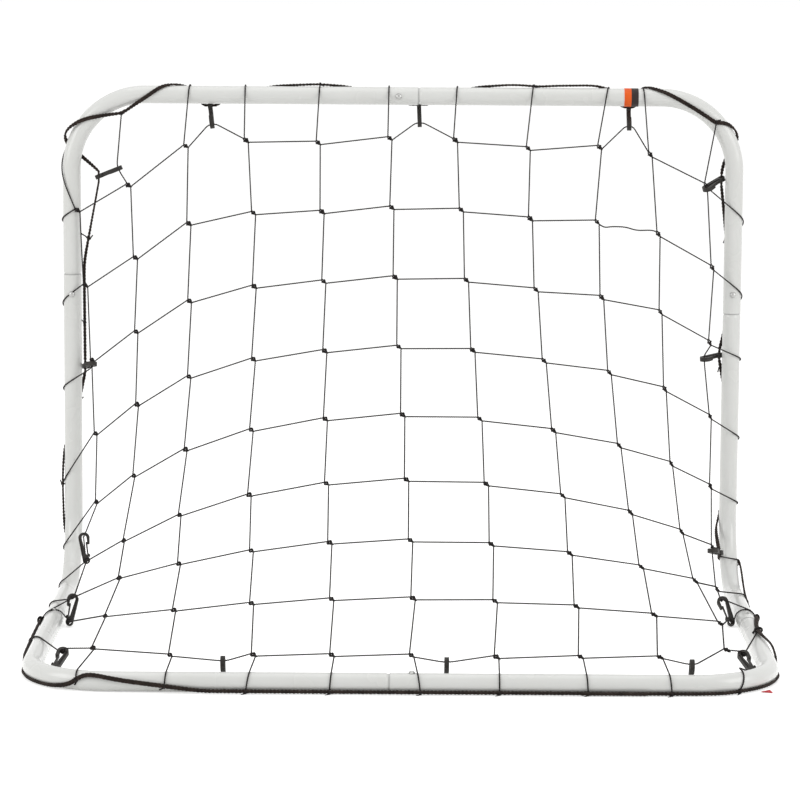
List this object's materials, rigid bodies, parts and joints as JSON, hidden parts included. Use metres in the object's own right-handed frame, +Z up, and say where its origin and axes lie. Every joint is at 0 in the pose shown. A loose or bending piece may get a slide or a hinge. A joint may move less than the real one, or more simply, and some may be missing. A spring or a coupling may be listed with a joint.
{
  "type": "hockey goal net",
  "caption": "Small knock-down practice hockey goal: bent tube frame with snap-button joints and a cord net held by a border cord and gated clips.",
  "frame": {"origin": "on the floor, under the middle of the frame", "axes": "+X across the goal, +Y out of the mouth, +Z up"},
  "size_m": [0.9846, 0.733, 0.7268],
  "materials": {
    "white_paint": "glossy white powder coat",
    "button_steel": "bright plated steel",
    "spring_steel": "plain spring steel",
    "clip_plastic": "moulded charcoal nylon",
    "gate_plastic": "moulded charcoal nylon",
    "twine": "dark twisted twine",
    "braid": "dark brown flat braid",
    "orange_tape": "orange tape",
    "black_tape": "black tape",
    "red_cloth": "red cloth scrap"
  },
  "bodies": {
    "frame": {"top_left": "white_paint", "top_right": "white_paint", "left_heel": "white_paint", "right_heel": "white_paint", "front_left": "white_paint", "front_right": "white_paint", "spring_top": "spring_steel", "spring_left_upright": "spring_steel", "spring_right_upright": "spring_steel", "spring_left_base": "spring_steel", "spring_right_base": "spring_steel", "spring_front": "spring_steel", "net": "twine", "border_cord": "braid", "band_orange": "orange_tape", "band_black": "black_tape", "corner_tag": "red_cloth", "clip_top_1": "clip_plastic", "clip_top_2": "clip_plastic", "clip_top_3": "clip_plastic", "clip_left_1": "clip_plastic", "clip_left_2": "clip_plastic", "clip_left_3": "clip_plastic", "clip_left_4": "clip_plastic", "clip_left_5": "clip_plastic", "clip_right_1": "clip_plastic", "clip_right_2": "clip_plastic", "clip_right_3": "clip_plastic", "clip_right_4": "clip_plastic", "clip_right_5": "clip_plastic", "clip_front_1": "clip_plastic", "clip_front_2": "clip_plastic", "clip_front_3": "clip_plastic"},
    "snap_top": {"button_top": "button_steel"},
    "snap_left_upright": {"button_left_upright": "button_steel"},
    "snap_right_upright": {"button_right_upright": "button_steel"},
    "snap_left_base": {"button_left_base": "button_steel"},
    "snap_right_base": {"button_right_base": "button_steel"},
    "snap_front": {"button_front": "button_steel"},
    "gate_body_top_1": {"gate_top_1": "gate_plastic"},
    "gate_body_top_2": {"gate_top_2": "gate_plastic"},
    "gate_body_top_3": {"gate_top_3": "gate_plastic"},
    "gate_body_left_1": {"gate_left_1": "gate_plastic"},
    "gate_body_left_2": {"gate_left_2": "gate_plastic"},
    "gate_body_left_3": {"gate_left_3": "gate_plastic"},
    "gate_body_left_4": {"gate_left_4": "gate_plastic"},
    "gate_body_left_5": {"gate_left_5": "gate_plastic"},
    "gate_body_right_1": {"gate_right_1": "gate_plastic"},
    "gate_body_right_2": {"gate_right_2": "gate_plastic"},
    "gate_body_right_3": {"gate_right_3": "gate_plastic"},
    "gate_body_right_4": {"gate_right_4": "gate_plastic"},
    "gate_body_right_5": {"gate_right_5": "gate_plastic"},
    "gate_body_front_1": {"gate_front_1": "gate_plastic"},
    "gate_body_front_2": {"gate_front_2": "gate_plastic"},
    "gate_body_front_3": {"gate_front_3": "gate_plastic"}
  },
  "joints": [
    {"name": "press_top", "type": "slide", "parent": "frame", "child": "snap_top", "axis": [0, 1, 0], "range_m": [0, 0.0045], "stiffness_N_per_m": 1500, "springref_m": -0.001, "deforming": ["spring_top"]},
    {"name": "press_left_upright", "type": "slide", "parent": "frame", "child": "snap_left_upright", "axis": [0, 1, 0], "range_m": [0, 0.0045], "stiffness_N_per_m": 1500, "springref_m": -0.001, "deforming": ["spring_left_upright"]},
    {"name": "press_right_upright", "type": "slide", "parent": "frame", "child": "snap_right_upright", "axis": [0, 1, 0], "range_m": [0, 0.0045], "stiffness_N_per_m": 1500, "springref_m": -0.001, "deforming": ["spring_right_upright"]},
    {"name": "press_left_base", "type": "slide", "parent": "frame", "child": "snap_left_base", "axis": [0, 0, -1], "range_m": [0, 0.0045], "stiffness_N_per_m": 1500, "springref_m": -0.001, "deforming": ["spring_left_base"]},
    {"name": "press_right_base", "type": "slide", "parent": "frame", "child": "snap_right_base", "axis": [0, 0, -1], "range_m": [0, 0.0045], "stiffness_N_per_m": 1500, "springref_m": -0.001, "deforming": ["spring_right_base"]},
    {"name": "press_front", "type": "slide", "parent": "frame", "child": "snap_front", "axis": [0, 0, -1], "range_m": [0, 0.0045], "stiffness_N_per_m": 1500, "springref_m": -0.001, "deforming": ["spring_front"]},
    {"name": "open_top_1", "type": "hinge", "parent": "frame", "child": "gate_body_top_1", "pos_m": [-0.27554, 0.356, 0.69092], "axis": [0.9892, 0, 0.1465], "range_deg": [0, 12], "stiffness_Nm_per_rad": 0.05, "springref_deg": -2.86},
    {"name": "open_top_2", "type": "hinge", "parent": "frame", "child": "gate_body_top_2", "pos_m": [0.02211, 0.35734, 0.69425], "axis": [0.9993, 0, 0.0384], "range_deg": [0, 12], "stiffness_Nm_per_rad": 0.05, "springref_deg": -2.86},
    {"name": "open_top_3", "type": "hinge", "parent": "frame", "child": "gate_body_top_3", "pos_m": [0.321, 0.35554, 0.6923], "axis": [1, 0, 0], "range_deg": [0, 12], "stiffness_Nm_per_rad": 0.05, "springref_deg": -2.86},
    {"name": "open_left_1", "type": "hinge", "parent": "frame", "child": "gate_body_left_1", "pos_m": [-0.42941, 0.33979, 0.59493], "axis": [-0.3867, 0, 0.9222], "range_deg": [0, 12], "stiffness_Nm_per_rad": 0.05, "springref_deg": -2.86},
    {"name": "open_left_2", "type": "hinge", "parent": "frame", "child": "gate_body_left_2", "pos_m": [-0.45088, 0.35208, 0.31923], "axis": [0, -0.2425, -0.9701], "range_deg": [0, 12], "stiffness_Nm_per_rad": 0.05, "springref_deg": -2.86},
    {"name": "open_left_3", "type": "hinge", "parent": "frame", "child": "gate_body_left_3", "pos_m": [-0.44288, 0.236, 0.06382], "axis": [0, -0.9894, 0.1455], "range_deg": [0, 12], "stiffness_Nm_per_rad": 0.05, "springref_deg": -2.86},
    {"name": "open_left_4", "type": "hinge", "parent": "frame", "child": "gate_body_left_4", "pos_m": [-0.45412, 0.0508, 0.0128], "axis": [0, 0.9138, -0.4061], "range_deg": [0, 12], "stiffness_Nm_per_rad": 0.05, "springref_deg": -2.86},
    {"name": "open_left_5", "type": "hinge", "parent": "frame", "child": "gate_body_left_5", "pos_m": [-0.44488, -0.24698, 0.01087], "axis": [0, 0.5408, -0.8412], "range_deg": [0, 12], "stiffness_Nm_per_rad": 0.05, "springref_deg": -2.86},
    {"name": "open_right_1", "type": "hinge", "parent": "frame", "child": "gate_body_right_1", "pos_m": [0.45269, 0.35059, 0.59164], "axis": [0.2529, 0.2529, -0.9338], "range_deg": [0, 12], "stiffness_Nm_per_rad": 0.05, "springref_deg": -2.86},
    {"name": "open_right_2", "type": "hinge", "parent": "frame", "child": "gate_body_right_2", "pos_m": [0.45453, 0.35225, 0.33946], "axis": [0.0586, 0.0586, -0.9966], "range_deg": [0, 12], "stiffness_Nm_per_rad": 0.05, "springref_deg": -2.86},
    {"name": "open_right_3", "type": "hinge", "parent": "frame", "child": "gate_body_right_3", "pos_m": [0.45511, 0.26406, 0.06895], "axis": [0, -0.2707, -0.9627], "range_deg": [0, 12], "stiffness_Nm_per_rad": 0.05, "springref_deg": -2.86},
    {"name": "open_right_4", "type": "hinge", "parent": "frame", "child": "gate_body_right_4", "pos_m": [0.44909, 0.07807, 0.01079], "axis": [0, 0.8137, -0.5812], "range_deg": [0, 12], "stiffness_Nm_per_rad": 0.05, "springref_deg": -2.86},
    {"name": "open_right_5", "type": "hinge", "parent": "frame", "child": "gate_body_right_5", "pos_m": [0.45343, -0.23901, 0.01099], "axis": [0, -0.5547, 0.8321], "range_deg": [0, 12], "stiffness_Nm_per_rad": 0.05, "springref_deg": -2.86},
    {"name": "open_front_1", "type": "hinge", "parent": "frame", "child": "gate_body_front_1", "pos_m": [-0.224, -0.31294, 0.01059], "axis": [-1, 0, 0], "range_deg": [0, 12], "stiffness_Nm_per_rad": 0.05, "springref_deg": -2.86},
    {"name": "open_front_2", "type": "hinge", "parent": "frame", "child": "gate_body_front_2", "pos_m": [0.058, -0.31294, 0.01059], "axis": [-1, 0, 0], "range_deg": [0, 12], "stiffness_Nm_per_rad": 0.05, "springref_deg": -2.86},
    {"name": "open_front_3", "type": "hinge", "parent": "frame", "child": "gate_body_front_3", "pos_m": [0.367, -0.31307, 0.01038], "axis": [-1, 0, 0], "range_deg": [0, 12], "stiffness_Nm_per_rad": 0.05, "springref_deg": -2.86}
  ]
}
